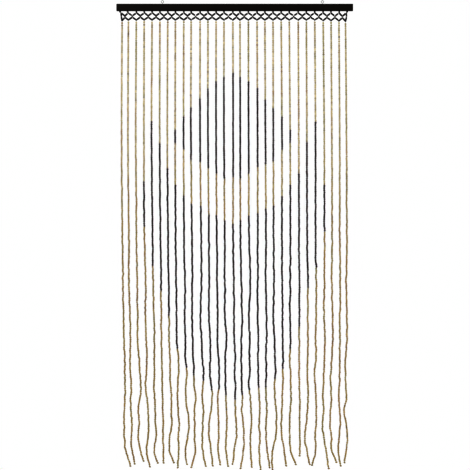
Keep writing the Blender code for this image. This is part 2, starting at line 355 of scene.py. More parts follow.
def natural_bead_wood(colours):
    """Turned light hardwood under thin clear lacquer.

    The grain runs along the bead and shows as fine darker streaks. Beads come from mixed
    sticks, so runs of them are greener or redder. Their drilled ends are darker, partly end
    grain and partly painted shade where beads meet and inside their holes.
    """
    material, tree, shader = new_material(
        "turned hardwood under clear lacquer", 0.5, Specular_IOR_Level=0.35)
    place = add_node(tree, "TexCoord").outputs["Object"]
    depth, warmth, tone, rim = (
        add_node(tree, "Attribute", attribute_name=name).outputs["Fac"]
        for name in ("depth", "warmth", "tone", "rim"))

    colour = add_node(
        tree, "Mix",
        {MIX_SHARE: depth, MIX_FIRST: colours.natural, MIX_SECOND: colours.natural_deep},
        data_type="RGBA").outputs[MIXED]
    for full_warmth, other_wood in ((-1.0, colours.olive), (1.0, colours.russet)):
        share = add_node(
            tree, "MapRange",
            {"Value": warmth, "From Max": full_warmth, "To Max": 0.6}).outputs[0]
        colour = add_node(
            tree, "Mix", {MIX_SHARE: share, MIX_FIRST: colour, MIX_SECOND: other_wood},
            data_type="RGBA").outputs[MIXED]

    streak = wood_streaks(tree, place)
    # Pores 0.15 mm wide and 1.2 mm long
    pore_place = add_node(
        tree, "Mapping", {"Vector": place, "Scale": per_mm(0.15, 0.15, 1.2)}).outputs[0]
    pores = add_node(
        tree, "TexNoise", {"Vector": pore_place, "Scale": 1.0, "Detail": 1.0}).outputs["Fac"]
    # Streaks and pores each darken the wood, and so do the drilled ends, partly end grain and partly
    # painted shade
    for pattern, stops in (
        (streak, ((0.3, grey(0.62)), (0.48, grey(0.95)), (0.7, grey(1.08)))),
        (pores, ((0.28, grey(0.6)), (0.4, grey(1.0)))),
        # Painted shade, with end grain, at the drilled ends where beads meet and in the hole
        (rim, ((0.72, grey(1.0)), (1.0, grey(0.62)))),
    ):
        shade = add_node(tree, "ValToRGB", {"Fac": pattern}, stops=stops).outputs["Color"]
        colour = add_node(
            tree, "Mix", {MIX_SHARE: 1.0, MIX_FIRST: colour, MIX_SECOND: shade},
            data_type="RGBA", blend_type="MULTIPLY").outputs[MIXED]
    toned = add_node(tree, "VectorMath", {0: colour, "Scale": tone}, operation="SCALE").outputs[0]
    lay_finish(tree, shader, toned, sheen=(streak, 0.62, 0.42), relief=(pores, 0.35, 0.06))
    return material


def stained_bead_wood(colours):
    """The same turned hardwood, dipped in dark brown stain and lacquered.

    The stain takes unevenly, so the colour runs from near black to plum brown, the grain
    still shows, and the widest part of a bead is rubbed a little paler. Its drilled ends are
    darker, partly end grain and partly painted shade where beads meet and inside their holes.
    """
    material, tree, shader = new_material(
        "turned hardwood in dark stain", 0.42, Specular_IOR_Level=0.22)
    place = add_node(tree, "TexCoord").outputs["Object"]
    tone, rim = (
        add_node(tree, "Attribute", attribute_name=name).outputs["Fac"]
        for name in ("tone", "rim"))

    streak = wood_streaks(tree, place)
    streak_shade = add_node(
        tree, "ValToRGB", {"Fac": streak},
        stops=((0.32, grey(0.55)), (0.5, grey(1.0)), (0.72, grey(1.5)))).outputs["Color"]
    grained = add_node(
        tree, "Mix", {MIX_SHARE: 1.0, MIX_FIRST: colours.dark, MIX_SECOND: streak_shade},
        data_type="RGBA", blend_type="MULTIPLY").outputs[MIXED]
    # Paler where a bead is widest, which is wear, and darker at its drilled ends, partly end grain
    # and partly painted shade
    wear_and_end_shade = add_node(
        tree, "MapRange",
        {"Value": rim, "From Max": 0.8, "To Min": 1.25, "To Max": 0.7}).outputs[0]
    shade = add_node(tree, "Math", {0: wear_and_end_shade, 1: tone}, operation="MULTIPLY").outputs[0]
    toned = add_node(tree, "VectorMath", {0: grained, "Scale": shade}, operation="SCALE").outputs[0]
    lay_finish(tree, shader, toned, sheen=(streak, 0.55, 0.35), relief=(streak, 0.25, 0.06))
    return material


def lacquered_bead_wood(colours):
    """Long turned beads in black lacquer.

    The coat is thick enough to hide the grain, glossy, with brush-thin spots that show a
    warm brown at the rims.
    """
    material, tree, shader = new_material(
        "turned hardwood in black lacquer", 0.3, Specular_IOR_Level=0.3)
    place = add_node(tree, "TexCoord").outputs["Object"]
    tone, rim = (
        add_node(tree, "Attribute", attribute_name=name).outputs["Fac"]
        for name in ("tone", "rim"))

    # Thin spots of the coat, 0.8 mm across
    spot_place = add_node(
        tree, "Mapping", {"Vector": place, "Scale": per_mm(0.8, 0.8, 0.8)}).outputs[0]
    spots = add_node(
        tree, "TexNoise", {"Vector": spot_place, "Scale": 1.0, "Detail": 2.0}).outputs["Fac"]
    rubbed = add_node(tree, "Math", {0: spots, 1: rim}, operation="MULTIPLY").outputs[0]
    colour = add_node(
        tree, "ValToRGB", {"Fac": rubbed},
        stops=((0.35, colours.heading), (0.7, linear_colour("#3a2a24")))).outputs["Color"]
    toned = add_node(tree, "VectorMath", {0: colour, "Scale": tone}, operation="SCALE").outputs[0]
    lay_finish(tree, shader, toned, sheen=(spots, 0.24, 0.42), relief=(spots, 0.15, 0.05))
    return material


def painted_slat_wood(colours):
    """Planed softwood in black satin paint.

    The paint sinks into the grain, which shows as long faint ridges along the slat. Painted
    shade darkens it towards its top and bottom, and on its top and underside, and small
    knocks on its long edges show brown wood.
    """
    material, tree, shader = new_material(
        "planed softwood in black satin paint", 0.5, Specular_IOR_Level=0.15)
    place = add_node(tree, "TexCoord").outputs["Object"]

    # Grain ridges 0.9 mm wide and 90 mm long
    grain_place = add_node(
        tree, "Mapping", {"Vector": place, "Scale": per_mm(90.0, 0.9, 0.9)}).outputs[0]
    grain = add_node(
        tree, "TexNoise",
        {"Vector": grain_place, "Scale": 1.0, "Detail": 4.0, "Distortion": 0.4}).outputs["Fac"]
    grain_shade = add_node(
        tree, "ValToRGB", {"Fac": grain},
        stops=((0.34, grey(0.72)), (0.5, grey(1.0)), (0.68, grey(1.3)))).outputs["Color"]
    # Broad uneven patches of the paint, 60 mm long and 9 mm high
    patch_place = add_node(
        tree, "Mapping", {"Vector": place, "Scale": per_mm(60.0, 9.0, 9.0)}).outputs[0]
    patch = add_node(
        tree, "TexNoise", {"Vector": patch_place, "Scale": 1.0, "Detail": 2.0}).outputs["Fac"]

    # Distance up and down from the slat's middle line, 0 there and 1 at its edges
    axes = add_node(tree, "SeparateXYZ", {0: place}).outputs
    off_middle = add_node(
        tree, "Math", {0: axes["Z"], 1: SLAT_UNDERSIDE / 2}, operation="SUBTRACT").outputs[0]
    share = add_node(
        tree, "Math", {0: off_middle, 1: -SLAT_UNDERSIDE / 2}, operation="DIVIDE").outputs[0]
    edge = add_node(tree, "Math", {0: share}, operation="ABSOLUTE").outputs[0]
    # Painted shade: darker towards the top and bottom of the slat's face, darkest on its top and
    # underside
    painted_edge_shade = add_node(
        tree, "MapRange",
        {"Value": edge, "From Min": 0.55, "From Max": 0.95, "To Min": 1.0, "To Max": 0.45}).outputs[0]

    painted = add_node(
        tree, "Mix", {MIX_SHARE: 1.0, MIX_FIRST: colours.slat, MIX_SECOND: grain_shade},
        data_type="RGBA", blend_type="MULTIPLY").outputs[MIXED]
    shaded_at_edges = add_node(
        tree, "VectorMath", {0: painted, "Scale": painted_edge_shade}, operation="SCALE").outputs[0]

    # Knocks 1.5 mm long on the long edges, where height and thickness both end
    knock_place = add_node(
        tree, "Mapping", {"Vector": place, "Scale": per_mm(1.5, 0.7, 0.7)}).outputs[0]
    knocks = add_node(
        tree, "TexNoise", {"Vector": knock_place, "Scale": 1.0, "Detail": 2.0}).outputs["Fac"]
    off_plane = add_node(tree, "Math", {0: axes["Y"]}, operation="ABSOLUTE").outputs[0]
    knock_spots, end_of_height, end_of_thickness = (
        add_node(
            tree, "MapRange",
            {"Value": value, "From Min": low, "From Max": high}).outputs[0]
        for value, low, high in (
            (knocks, 0.62, 0.68),
            (edge, 0.96, 0.985),
            (off_plane, SLAT_HALF_DEPTH - 1.2 * MM, SLAT_HALF_DEPTH - 0.4 * MM),
        ))
    edge_line = add_node(
        tree, "Math", {0: end_of_height, 1: end_of_thickness},
        operation="MULTIPLY").outputs[0]
    # Knocked where a spot of the noise meets an edge
    knocked = add_node(
        tree, "Math", {0: knock_spots, 1: edge_line}, operation="MULTIPLY").outputs[0]
    colour = add_node(
        tree, "Mix",
        {MIX_SHARE: knocked, MIX_FIRST: shaded_at_edges, MIX_SECOND: linear_colour("#6a5238")},
        data_type="RGBA").outputs[MIXED]
    lay_finish(tree, shader, colour, sheen=(patch, 0.38, 0.62), relief=(grain, 0.4, 0.12))
    return material


def nylon_string(colours):
    """Pale braided nylon string, with a faint sheen.

    The braid shows as slanting stripes, about 0.3 mm from one to the next.
    """
    material, tree, shader = new_material("braided nylon", 0.5, Sheen_Weight=0.1)
    place = add_node(tree, "TexCoord").outputs["Object"]
    braid_place = add_node(
        tree, "Mapping",
        {"Vector": place, "Rotation": (0, math.radians(40), 0), "Scale": per_mm(0.5, 0.5, 0.5)}
    ).outputs[0]
    # A wave of this scale repeats after 0.63 of a step
    braid = add_node(
        tree, "TexWave", {"Vector": braid_place, "Scale": 0.5, "Distortion": 0.6},
        wave_profile="TRI").outputs["Fac"]
    shade = add_node(tree, "MapRange", {"Value": braid, "To Min": 0.78, "To Max": 1.0}).outputs[0]
    colour = add_node(
        tree, "VectorMath", {0: colours.string[:3], "Scale": shade},
        operation="SCALE").outputs[0]
    tree.links.new(colour, shader.inputs["Base Color"])
    bump = add_node(
        tree, "Bump", {"Height": braid, "Strength": 0.4, "Distance": 0.08 * MM}).outputs[0]
    tree.links.new(bump, shader.inputs["Normal"])
    return material


def plated_wire(colours):
    """Steel wire with a thin zinc plating, bent cold.

    It is bright but not polished, and dull spots make its gloss and its surface uneven.
    """
    material, tree, shader = new_material("zinc plated steel wire", 0.3, Metallic=1.0)
    place = add_node(tree, "TexCoord").outputs["Object"]
    # Dull spots 0.7 mm across
    spot_place = add_node(
        tree, "Mapping", {"Vector": place, "Scale": per_mm(0.7, 0.7, 0.7)}).outputs[0]
    spots = add_node(
        tree, "TexNoise", {"Vector": spot_place, "Scale": 1.0, "Detail": 3.0}).outputs["Fac"]
    shade = add_node(
        tree, "MapRange",
        {"Value": spots, "From Min": 0.35, "From Max": 0.7, "To Min": 1.0, "To Max": 0.72}).outputs[0]
    colour = add_node(
        tree, "VectorMath", {0: colours.wire[:3], "Scale": shade},
        operation="SCALE").outputs[0]
    lay_finish(tree, shader, colour, sheen=(spots, 0.22, 0.46), relief=(spots, 0.2, 0.05))
    return material


def material_for(context, make):
    """The material that a function makes from the curtain's colours, on its first use."""
    if make not in MADE_MATERIALS:
        MADE_MATERIALS[make] = make(context.scene.curtain_colours)
    return MADE_MATERIALS[make]


def sway_at(strand, drop):
    """Sideways place of a strand at a drop: a smooth curve through its row's values."""
    drops = [BOTTOM_KNOT_DROP, *SWAY_DROPS, strand.drop]
    sways = [0.0, *strand[2:-1]]
    span = max(i for i in range(len(drops) - 1) if drops[i] <= drop or i == 0)

    def slope(i):
        before = max(i - 1, 0)
        after = min(i + 1, len(drops) - 1)
        return (sways[after] - sways[before]) / (drops[after] - drops[before])

    length = drops[span + 1] - drops[span]
    t = (drop - drops[span]) / length
    return (
        sways[span] * (2 * t ** 3 - 3 * t ** 2 + 1)
        + slope(span) * length * (t ** 3 - 2 * t ** 2 + t)
        + sways[span + 1] * (3 * t ** 2 - 2 * t ** 3)
        + slope(span + 1) * length * (t ** 3 - t ** 2)
    )


def strand_point(number, drop):
    """Middle of a strand at a drop, in metres, with its small kinks."""
    strand = STRANDS[number]
    share = drop / LONGEST_DROP
    wave = math.sin(math.tau * drop / DEPTH_WAVE + number * DEPTH_TURN)
    growth = min(drop / FULL_KINK_DROP, 1.0) ** KINK_GROWTH
    apart = number * KINK_NOISE_STEP
    kink = kink_in_depth = 0.0
    for size, length in KINKS:
        kink += growth * size * noise.noise(Vector((apart, size, drop / length)))
        kink_in_depth += growth * size * noise.noise(
            Vector((apart, size + DEPTH_NOISE_STEP, drop / length)))
    return MM * Vector((
        strand.knot + sway_at(strand, drop) + kink,
        DEPTH_SWAY * share ** 2 * wave + kink_in_depth,
        -drop,
    ))


def string_lengths(points):
    """Length of string from the first point to each point."""
    lengths = [0.0]
    for before, after in zip(points, points[1:]):
        lengths.append(lengths[-1] + (after - before).length)
    return lengths


def along(points, lengths, length):
    """Point on a string at a length from its start, and the string's direction there."""
    span = min(max(bisect.bisect(lengths, length) - 1, 0), len(points) - 2)
    step = points[span + 1] - points[span]
    part = (length - lengths[span]) / step.length
    return points[span] + step * part, step.normalized()


def bead_template(name, length, width, hole, form):
    """A turned bead with a drilled hole on the Z axis, as a mesh to copy."""
    bm = bmesh.new()
    rim_layer = bm.verts.layers.float.new("rim")
    for shade in ("tone", "warmth", "depth"):
        bm.verts.layers.float.new(shade)
    outline = []
    for row in range(form.rows):
        angle = math.pi * (row / (form.rows - 1) - 0.5)
        radius = hole + (width / 2 - hole) * abs(math.cos(angle)) ** form.fullness
        outline.append(bm.verts.new((radius, 0.0, length / 2 * math.sin(angle))))
    for before, after in zip(outline, outline[1:] + outline[:1]):
        bm.edges.new((before, after))
    for vertex in outline:
        vertex[rim_layer] = abs(vertex.co.z) * 2 / length
    bmesh.ops.spin(
        bm, geom=list(bm.verts) + list(bm.edges), cent=(0, 0, 0), axis=(0, 0, 1),
        angle=math.tau, steps=form.sides, use_merge=True)
    bmesh.ops.recalc_face_normals(bm, faces=bm.faces)
    mesh = bpy.data.meshes.new(name)
    bm.to_mesh(mesh)
    bm.free()
    return mesh


def add_bead(bm, template, centre, direction, spin=0.0, size=(1, 1, 1), **shades):
    """Copy a template onto a string, its hole along the string's direction."""
    first = len(bm.verts)
    bm.from_mesh(template)
    corners = bm.verts[first:]
    turn = Vector((0, 0, -1)).rotation_difference(direction).to_matrix().to_4x4()
    matrix = (
        Matrix.Translation(centre) @ turn @ Matrix.Rotation(spin, 4, "Z")
        @ Matrix.Diagonal((*size, 1.0)))
    bmesh.ops.transform(bm, matrix=matrix, verts=corners)
    for name, value in shades.items():
        layer = bm.verts.layers.float[name]
        for corner in corners:
            corner[layer] = value


def finish_piece(name, bm, material, slot, *replaced):
    """Make a bmesh a piece of the curtain that rides on its one body."""
    mesh = bpy.data.meshes.new(name)
    bm.to_mesh(mesh)
    bm.free()
    mesh.shade_smooth()
    mesh.set_sharp_from_angle(angle=SHARP_ANGLE)
    mesh.materials.append(material)
    piece = bpy.data.objects.new(name, mesh)
    bpy.context.scene.collection.objects.link(piece)
    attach(piece, "root")
    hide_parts(*replaced)


def finish_strings(name, routes, radius, material):
    """Round strings along open or closed routes, as one piece."""
    curve = bpy.data.curves.new(name, "CURVE")
    curve.dimensions = "3D"
    curve.bevel_depth = radius
    curve.bevel_resolution = 1
    curve.use_fill_caps = True
    for points, is_closed in routes:
        spline = curve.splines.new("POLY")
        spline.points.add(len(points) - 1)
        for spot, point in zip(spline.points, points):
            spot.co = (*point, 1.0)
        spline.use_cyclic_u = is_closed
        spline.use_smooth = True
    guide = bpy.data.objects.new(name + "_guide", curve)
    bpy.context.scene.collection.objects.link(guide)
    bpy.context.view_layer.update()
    mesh = bpy.data.meshes.new_from_object(
        guide.evaluated_get(bpy.context.evaluated_depsgraph_get()))
    bpy.data.objects.remove(guide)
    bm = bmesh.new()
    bm.from_mesh(mesh)
    bmesh.ops.remove_doubles(bm, verts=bm.verts, dist=0.001 * MM)
    bmesh.ops.recalc_face_normals(bm, faces=bm.faces)
    finish_piece(name, bm, material, "string", NET_NODE)


def eased(points, ease):
    """The same route with each corner cut off that far before and after it."""
    route = [points[0]]
    for before, corner, after in zip(points, points[1:], points[2:]):
        route.append(corner + (before - corner).normalized() * ease)
        route.append(corner + (after - corner).normalized() * ease)
    route.append(points[-1])
    return route


def knot_route(centre, size, turn):
    """The closed route of a small three-lobed knot."""
    turned = Matrix.Rotation(turn, 3, KNOT_AXIS)
    route = []
    for step in range(KNOT_STEPS):
        angle = math.tau * step / KNOT_STEPS
        lobe = Vector((
            math.sin(angle) + 2 * math.sin(2 * angle),
            math.cos(angle) - 2 * math.cos(2 * angle),
            -KNOT_DEPTH * math.sin(3 * angle),
        ))
        route.append(centre + turned @ lobe * (size / 3))
    return route


def net_sag(number):
    """How much lower than most a strand's knot under the net hangs, in millimetres."""
    return NET_SAGS.get(number + 1, 0.0)


def net_points():
    """Top knots, crossings and bottom knots of the heading net, in metres."""
    tops = []
    bottoms = []
    for number, strand in enumerate(STRANDS):
        lean = (strand.knot - strand.hole) / 2 - strand.hole * NET_DRAWN_IN
        tops.append(MM * Vector((strand.hole + lean, 0, -TOP_KNOT_DROP)))
        bottoms.append(MM * Vector((strand.knot, 0, -BOTTOM_KNOT_DROP - net_sag(number))))
    crossings = []
    for number in range(len(STRANDS) - 1):
        corners = tops[number:number + 2] + bottoms[number:number + 2]
        middle = sum(corner.x for corner in corners) / len(corners)
        sag = (net_sag(number) + net_sag(number + 1)) / 4
        crossings.append(Vector((middle, 0, -(CROSSING_DROP + sag) * MM)))
    return tops, crossings, bottoms


def edge_routes(tops, bottoms):
    """The strings down the net's left and right edge: top knot, middle, bottom knot."""
    return [
        (tops[end], (tops[end] + bottoms[end]) / 2 + Vector((bulge * MM, 0, 0)), bottoms[end])
        for end, bulge in zip((0, -1), EDGE_BULGES)
    ]


def strand_route(number):
    """Points a millimetre apart down a strand's beads, and the lengths of string to them."""
    first = FIRST_BEAD_DROP + net_sag(number)
    length = STRANDS[number].drop - first
    steps = round(length)
    points = [strand_point(number, first + length * step / steps) for step in range(steps + 1)]
    return points, string_lengths(points)


def is_dark(number, bead):
    """Whether the pattern has a dark bead there. Both numbers count from 0."""
    row = abs(number + 1 - MIDDLE_STRAND)
    if row >= len(CHART):
        return False
    chart = CHART[row]
    first_end = chart.natural + chart.dark
    second_start = first_end + chart.natural_again
    return chart.natural <= bead < first_end or second_start <= bead < second_start + chart.dark_again


class BEADCURTAIN_OT_stage(Operator):
    """Set a pale floor, soft studio light and the camera"""

    bl_idname = "bead_curtain.stage"
    bl_label = "Stage"

    # The photograph shows 1.791 m across the slat's plane. Its middle is 1 mm to the
    # right of the slat's middle, and 0.88 m below the slat's top.
    view_width = 1.7907
    view_x = 0.00107
    view_z = -0.8797
    lens = 100.0
    sensor = 36.0
    floor_reach = 1.0
    floor_drop = 1.96
    # The view's gamma gives the tones of the photograph's print
    print_gamma = 0.52
    backdrop_light = 0.3
    light_size = 1.6
    # Each light's name, place and power in watts
    lights = (
        ("key", (-1.8, -2.6, 0.9), 95.0),
        ("fill", (2.2, -2.2, -0.6), 55.0),
        ("back", (0.6, 2.6, 1.6), 80.0),
    )

    def execute(self, context):
        scene = context.scene
        scene.view_settings.view_transform = "Standard"
        scene.view_settings.gamma = self.print_gamma
        self.add_camera(scene)
        self.add_backdrop(scene)
        self.add_lights(scene)
        self.add_floor(scene)
        return {"FINISHED"}

    def add_camera(self, scene):
        camera = bpy.data.objects.new("camera", bpy.data.cameras.new("camera"))
        camera.data.lens = self.lens
        camera.data.sensor_width = self.sensor
        distance = self.view_width * self.lens / self.sensor
        camera.location = (self.view_x, -distance, self.view_z)
        camera.rotation_euler = (math.radians(90), 0, 0)
        scene.collection.objects.link(camera)
        scene.camera = camera

    def add_backdrop(self, scene):
        """A white backdrop, which lights the curtain less than it shows."""
        world = bpy.data.worlds.new("white studio")
        world.use_nodes = True
        tree = world.node_tree
        seen = add_node(tree, "LightPath").outputs["Is Camera Ray"]
        strength = add_node(
            tree, "MapRange",
            {"Value": seen, "To Min": self.backdrop_light, "To Max": 1.0}).outputs[0]
        backdrop = tree.nodes["Background"]
        backdrop.inputs["Color"].default_value = grey(1.0)
        tree.links.new(strength, backdrop.inputs["Strength"])
        scene.world = world

    def add_lights(self, scene):
        for name, place, power in self.lights:
            light = bpy.data.objects.new(name, bpy.data.lights.new(name, "AREA"))
            light.data.size = self.light_size
            light.data.energy = power
            light.location = place
            aim = Vector((0, 0, self.view_z)) - Vector(place)
            light.rotation_euler = aim.to_track_quat("-Z", "Y").to_euler()
            scene.collection.objects.link(light)

    def add_floor(self, scene):
        bm = bmesh.new()
        bmesh.ops.create_grid(
            bm, x_segments=1, y_segments=1, size=self.floor_reach,
            matrix=Matrix.Translation((0, 0, -self.floor_drop)))
        mesh = bpy.data.meshes.new("floor")
        bm.to_mesh(mesh)
        bm.free()
        paint = new_material("matt pale floor paint", 0.8, Base_Color=linear_colour("#f0eeea"))[0]
        mesh.materials.append(paint)
        floor = bpy.data.objects.new("floor", mesh)
        scene.collection.objects.link(floor)


class BEADCURTAIN_OT_slat(Operator):
    """Paint the slat"""

    bl_idname = "bead_curtain.slat"
    bl_label = "Slat"

    def execute(self, context):
        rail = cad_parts["rail"]
        rail.data.materials.clear()
        rail.data.materials.append(material_for(context, painted_slat_wood))
        return {"FINISHED"}


class BEADCURTAIN_OT_screw_eyes(Operator):
    """Bend two screw eyes from wire, each with its thread in the slat"""

    bl_idname = "bead_curtain.screw_eyes"
    bl_label = "Screw Eyes"

    wire_sides = 10
    # Width and length of the shank's point, as shares of the wire's radius, and how many
    # times wider the shank is than its point
    point_width = 0.35
    point_length = 1.5
    shank_widening = 2.5
    bend_radius = 1.5 * MM
    bend_angle = math.radians(62)
    bend_steps = 5
    # How far under the ring the bend starts, as a share of the bend's radius
    bend_drop = 0.4
    ring_angle = math.radians(318)
    ring_steps = 30
    thread_turns = 7
    thread_steps = 12
    thread_pitch = 1.3 * MM
    # How far the ridge stands out past the wire, and half its width at its root as a
    # share of its pitch
    ridge_height = 0.24 * MM
    ridge_half_width = 0.28
    # Where the thread starts and how deep it is rooted, as shares of the wire's radius
    thread_start = 1.2
    thread_root = 0.8

    def execute(self, context):
        material = material_for(context, plated_wire)
        for side in ("left", "right"):
            self.add_eye(side, material)
        return {"FINISHED"}

    def add_eye(self, side, material):
        low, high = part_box("eye_" + side)
        wire = (high.y - low.y) / 2
        ring = (high.x - low.x) / 2 - wire
        centre = Vector(((low.x + high.x) / 2, 0, high.z - wire - ring))

        # The shank rises up the middle, bends out to the right and runs round the ring.
        # The faces where one stretch meets the next end up inside the wire.
        bm = bmesh.new()
        bmesh.ops.create_circle(
            bm, cap_ends=True, segments=self.wire_sides, radius=wire * self.point_width,
            matrix=Matrix.Translation((centre.x, 0, low.z)))
        point_length = wire * self.point_length
        end = self.lift(bm, bm.faces[:], point_length)
        inside = end[:]
        bmesh.ops.scale(
            bm, vec=(self.shank_widening, self.shank_widening, 1), verts=end[0].verts,
            space=Matrix.Translation((-centre.x, 0, 0)))
        neck = centre.z - ring - self.bend_radius * self.bend_drop
        end = self.lift(bm, end, neck - low.z - point_length)
        inside += end
        made = bmesh.ops.spin(
            bm, geom=end, cent=(centre.x + self.bend_radius, 0, neck), axis=(0, 1, 0),
            angle=self.bend_angle, steps=self.bend_steps, use_merge=False)
        end = [part for part in made["geom_last"] if isinstance(part, bmesh.types.BMFace)]
        inside += end
        spot = end[0].calc_center_median()
        start = centre + (spot - centre).normalized() * ring
        bmesh.ops.translate(bm, verts=end[0].verts, vec=start - spot)
        bmesh.ops.spin(
            bm, geom=end, cent=centre, axis=(0, 1, 0), angle=-self.ring_angle,
            steps=self.ring_steps, use_merge=False)
        bmesh.ops.delete(bm, geom=inside, context="FACES_ONLY")
        bmesh.ops.recalc_face_normals(bm, faces=bm.faces)
        self.add_thread(bm, Vector((centre.x, 0, low.z + wire * self.thread_start)), wire)
        finish_piece("screw_eye_" + side, bm, material, "eye_steel", "eye_" + side)

    def lift(self, bm, faces, height):
        """Extrude faces upwards. Gives the faces at the new end."""
        made = bmesh.ops.extrude_face_region(bm, geom=faces)["geom"]
        corners = [part for part in made if isinstance(part, bmesh.types.BMVert)]
        bmesh.ops.translate(bm, verts=corners, vec=(0, 0, height))
        return [part for part in made if isinstance(part, bmesh.types.BMFace)]

    def add_thread(self, bm, start, wire):
        """A ridge with a sharp edge that winds up the shank."""
        root = wire * self.thread_root
        half = self.thread_pitch * self.ridge_half_width
        section = [
            bm.verts.new(start + Vector(spot))
            for spot in ((root, 0, -half), (wire + self.ridge_height, 0, 0), (root, 0, half))
        ]
        shank = set(bm.faces)
        face = bm.faces.new(section)
        bmesh.ops.spin(
            bm, geom=[face], cent=start, axis=(0, 0, 1), angle=math.tau * self.thread_turns,
            dvec=(0, 0, self.thread_pitch / self.thread_steps),
            steps=self.thread_steps * self.thread_turns, use_merge=False)
        ridge = [part for part in bm.faces if part not in shank]
        bmesh.ops.recalc_face_normals(bm, faces=ridge)


class BEADCURTAIN_OT_heading(Operator):
    """Thread the net of long black beads between the slat and the strands"""

    bl_idname = "bead_curtain.heading"
    bl_label = "Heading Net"

    rail_form = BeadForm(12, 7, 0.4)
    long_form = BeadForm(12, 8, 0.22)
    crossing_form = BeadForm(10, 7, 0.45)
    knot_form = BeadForm(10, 6, 0.7)
    # Bare string before each slanting bead. In the upper row, a bead that leans to the
    # right starts hard against its rail bead.
    leading_gap = 0.3 * MM
    trailing_gap = 3.2 * MM
    lower_gap = 1.5 * MM
    lower_edge_gap = 0.3 * MM
    # How much the beads vary in width and in tone, and how far a crossing bead leans
    unevenness = 0.04
    tones = (0.8, 1.3)
    crossing_lean = 0.08

    def execute(self, context):
        sizes = context.scene.heading_sizes
        hole = context.scene.bead_sizes.hole
        black = material_for(context, lacquered_bead_wood)
        draw = random.Random(RANDOM_SEED)
        tops, crossings, bottoms = net_points()
        rows = {name: bmesh.new() for name in ("rail", "upper", "lower", "crossing", "knot")}

        template = bead_template(
            "rail bead", sizes.rail_length, sizes.rail_width, hole, self.rail_form)
        for strand, knot in zip(STRANDS, tops):
            mouth = MM * Vector((strand.hole, 0, -RAIL_BEAD_TOP_DROP))
            self.add_on(rows["rail"], template, mouth, knot, 0.0, draw)

        leading = bead_template(
            "leading bead", sizes.leading_length, sizes.long_width, hole, self.long_form)
        long = bead_template("long bead", sizes.long_length, sizes.long_width, hole, self.long_form)
        half = Vector((0, 0, sizes.crossing_length / 2))
        for number, crossing in enumerate(crossings):
            above = crossing + half
            self.add_on(rows["upper"], leading, tops[number], above, self.leading_gap, draw)
            self.add_on(rows["upper"], long, tops[number + 1], above, self.trailing_gap, draw)
            for knot in bottoms[number:number + 2]:
                self.add_on(rows["lower"], long, crossing - half, knot, self.lower_gap, draw)
        for top, middle, bottom in edge_routes(tops, bottoms):
            self.add_on(rows["upper"], long, top, middle, 0.0, draw)
            self.add_on(rows["lower"], long, middle, bottom, self.lower_edge_gap, draw)

        template = bead_template(
            "crossing bead", sizes.crossing_length, sizes.crossing_width, hole, self.crossing_form)
        for crossing in crossings:
            lean = [draw.uniform(-self.crossing_lean, self.crossing_lean) for axis in "xy"]
            self.add(rows["crossing"], template, crossing, Vector((*lean, -1)).normalized(), draw)

        template = bead_template(
            "knot bead", sizes.knot_length, sizes.knot_width, hole, self.knot_form)
        for knot in bottoms:
            self.add(rows["knot"], template, knot, Vector((0, 0, -1)), draw)

        for name, bm in rows.items():
            finish_piece(f"heading_{name}_beads", bm, black, "heading_beads", NET_NODE)
        return {"FINISHED"}

    def add(self, bm, template, centre, direction, draw):
        """A bead of the heading, with its own width, turn and tone."""
        size = 1 + draw.uniform(-self.unevenness, self.unevenness)
        add_bead(
            bm, template, centre, direction, spin=draw.uniform(0, math.tau),
            size=(size, size, 1.0), tone=draw.uniform(*self.tones))

    def add_on(self, bm, template, start, end, gap, draw):
        """A bead on the string from start to end, a gap away from the start."""
        direction = (end - start).normalized()
        reach = max(corner.co.z for corner in template.vertices)
        self.add(bm, template, start + direction * (gap + reach), direction, draw)


